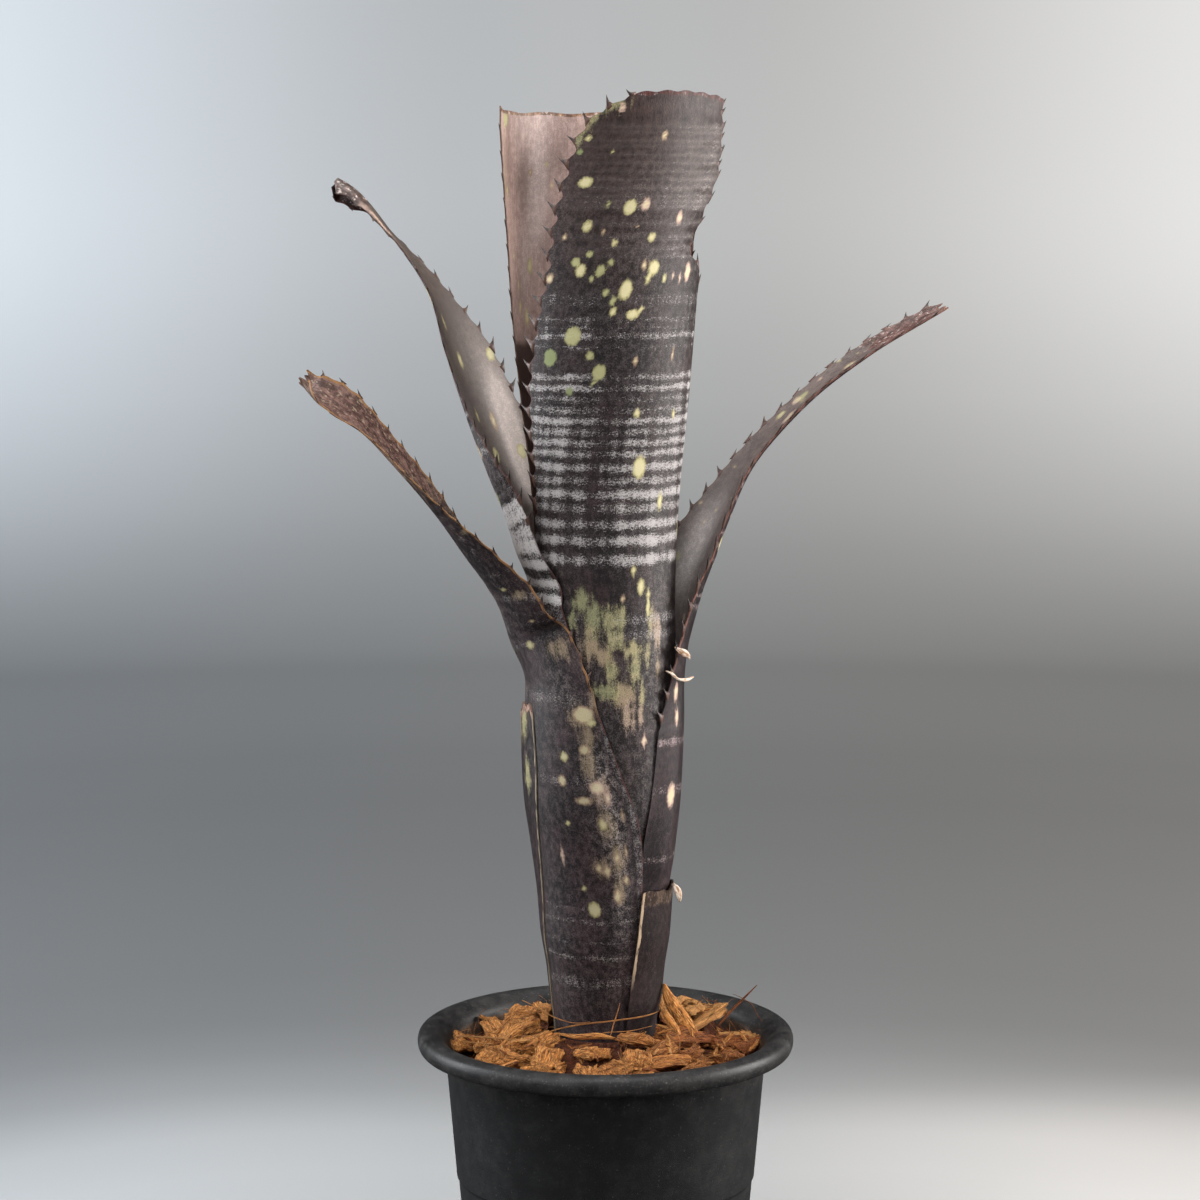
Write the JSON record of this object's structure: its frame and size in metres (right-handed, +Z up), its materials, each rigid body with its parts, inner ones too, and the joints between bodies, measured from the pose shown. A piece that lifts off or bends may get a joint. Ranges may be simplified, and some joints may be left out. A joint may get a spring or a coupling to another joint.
{
  "type": "potted billbergia",
  "caption": "Upright tubular bromeliad with dark banded, spotted, spiny-edged strap leaves in a round plastic pot of husk chips.",
  "frame": {"origin": "centre of the pot's flat base, on the surface that the pot stands on", "axes": "+Z up along the pot's axis, with the plant's broad banded leaf towards -Y"},
  "size_m": [0.2017, 0.12, 0.3995],
  "materials": {
    "pot_plastic": "satin",
    "husk": "matte",
    "leaf": "satin",
    "old_leaf": "matte",
    "stem": "satin"
  },
  "bodies": {
    "root": {"pot": "pot_plastic", "substrate": "husk", "crown": "stem", "leaf_front_left": "leaf", "leaf_right": "leaf", "leaf_left": "leaf", "leaf_front": "leaf", "leaf_back": "leaf", "stub_right": "old_leaf", "stub_left": "old_leaf"}
  },
  "joints": []
}
